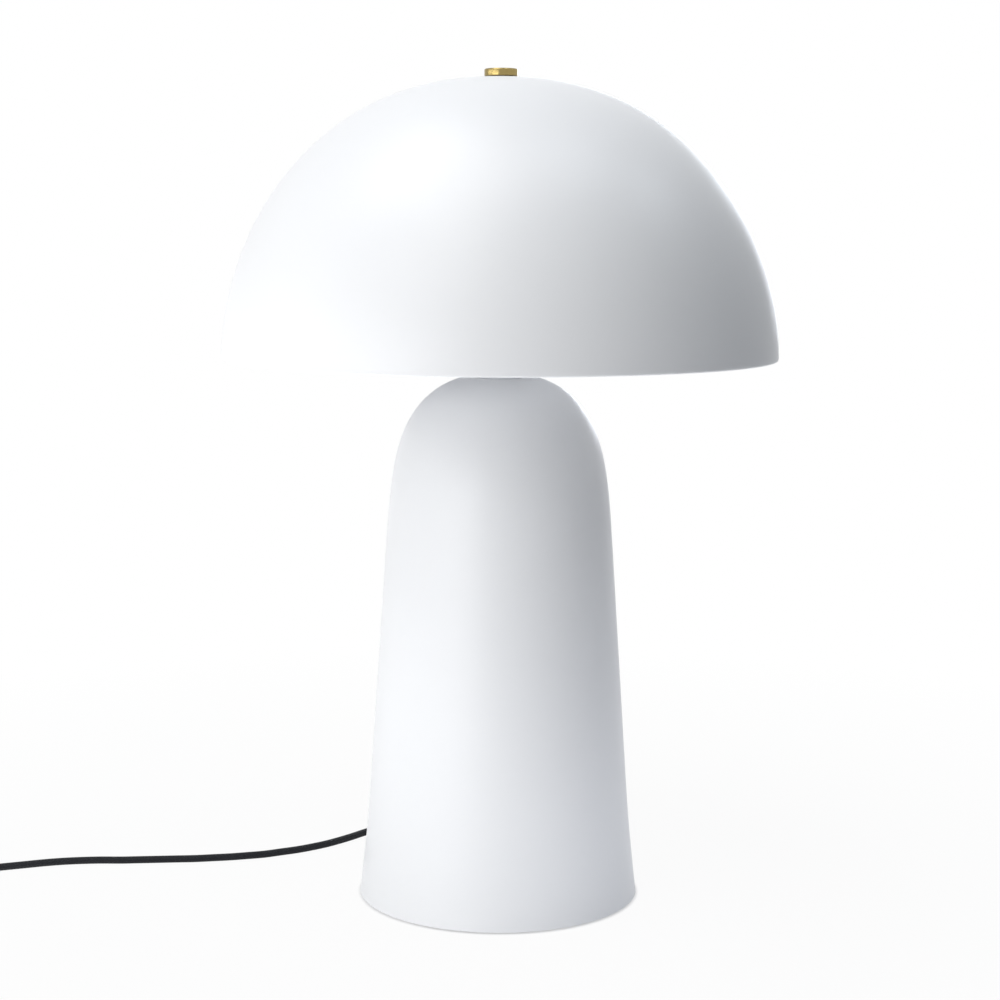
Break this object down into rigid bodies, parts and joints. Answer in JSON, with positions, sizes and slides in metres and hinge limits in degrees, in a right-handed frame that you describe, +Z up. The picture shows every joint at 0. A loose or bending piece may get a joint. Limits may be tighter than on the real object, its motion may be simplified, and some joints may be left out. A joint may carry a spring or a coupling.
{
  "type": "mushroom table lamp",
  "caption": "Table lamp with a domed lift-off shade held by a round knob, on a bullet-shaped base, with its flex, in-line switch and plug.",
  "frame": {"origin": "centre of the foot, on the surface that the lamp stands on", "axes": "+Z up along the axis of the base and the shade; +Y is the side where the flex leaves the base"},
  "size_m": [0.6629, 0.332, 0.5],
  "materials": {
    "white_paint": "smooth satin powder coat",
    "brass": "brushed brass",
    "zinc_steel": "zinc plated",
    "iron": "rough casting",
    "felt": "pressed felt",
    "black_rubber": "matte",
    "black_textile": "braided textile sleeve",
    "black_plastic": "fine grain",
    "white_ceramic": "glazed",
    "nickel": "nickel plated",
    "opal": "opal, diffusing"
  },
  "bodies": {
    "lamp_base": {"base_shell": "white_paint", "ballast_lug_1": "zinc_steel", "ballast_lug_2": "zinc_steel", "ballast_lug_3": "zinc_steel", "ballast": "iron", "bottom_plate": "zinc_steel", "felt_pad": "felt", "plate_screw_1": "zinc_steel", "plate_screw_2": "zinc_steel", "plate_screw_3": "zinc_steel", "support_tube": "zinc_steel", "tube_washer": "zinc_steel", "tube_nut": "brass", "neck_collar": "white_paint", "harp_bracket": "zinc_steel", "shade_stud": "zinc_steel", "stud_nut": "zinc_steel", "seat_washer": "black_rubber", "lock_washer": "zinc_steel", "holder_cap": "black_plastic", "holder_barrel": "black_plastic", "holder_insert": "white_ceramic", "holder_thread": "nickel", "holder_contact": "brass", "cord_grommet": "black_rubber", "strain_relief": "black_rubber", "inner_lead": "black_textile", "cord_clamp": "black_plastic", "clamp_screw_1": "zinc_steel", "clamp_screw_2": "zinc_steel", "cord_run": "black_textile", "switch_base": "black_plastic", "switch_cover": "black_plastic", "switch_terminal_1": "brass", "switch_terminal_2": "brass", "switch_screw_1": "zinc_steel", "switch_screw_2": "zinc_steel", "rocker_pin": "zinc_steel", "cord_link": "black_textile", "cord_coil": "black_textile", "cord_tail": "black_textile", "plug_body": "black_plastic", "pin_sleeve_1": "black_plastic", "pin_sleeve_2": "black_plastic", "plug_pin_1": "nickel", "plug_pin_2": "nickel"},
    "shade": {"shade_shell": "white_paint", "shade_plate": "zinc_steel"},
    "knob_carrier": {"knob_washer": "brass"},
    "knob": {"knob": "brass"},
    "bulb_carrier": {"bulb_tip": "nickel"},
    "bulb": {"bulb_insulator": "black_plastic", "bulb_cap": "nickel", "bulb_globe": "opal"},
    "switch_rocker": {"rocker": "black_plastic"}
  },
  "joints": [
    {"name": "shade_lift", "type": "slide", "parent": "lamp_base", "child": "shade", "axis": [0, 0, 1], "range_m": [0, 0.2]},
    {"name": "knob_rise", "type": "slide", "parent": "shade", "child": "knob_carrier", "axis": [0, 0, 1], "range_m": [0, 0.004]},
    {"name": "knob_turn", "type": "hinge", "parent": "knob_carrier", "child": "knob", "pos_m": [0, 0, 0.4955], "axis": [0, 0, 1], "range_deg": [0, 1440]},
    {"name": "bulb_rise", "type": "slide", "parent": "lamp_base", "child": "bulb_carrier", "axis": [0, 0, 1], "range_m": [0, 0.027]},
    {"name": "bulb_turn", "type": "hinge", "parent": "bulb_carrier", "child": "bulb", "pos_m": [0, 0, 0.362], "axis": [0, 0, 1], "range_deg": [0, 2700]},
    {"name": "rocker_tilt", "type": "hinge", "parent": "lamp_base", "child": "switch_rocker", "pos_m": [-0.378, 0.02427, 0.0105], "axis": [0, -1, 0], "range_deg": [0, 16]}
  ],
  "couplings": [
    {"joint": "knob_rise", "follows": "knob_turn", "m_per_rad": 0.00015915},
    {"joint": "bulb_rise", "follows": "bulb_turn", "m_per_rad": 0.00057296}
  ]
}
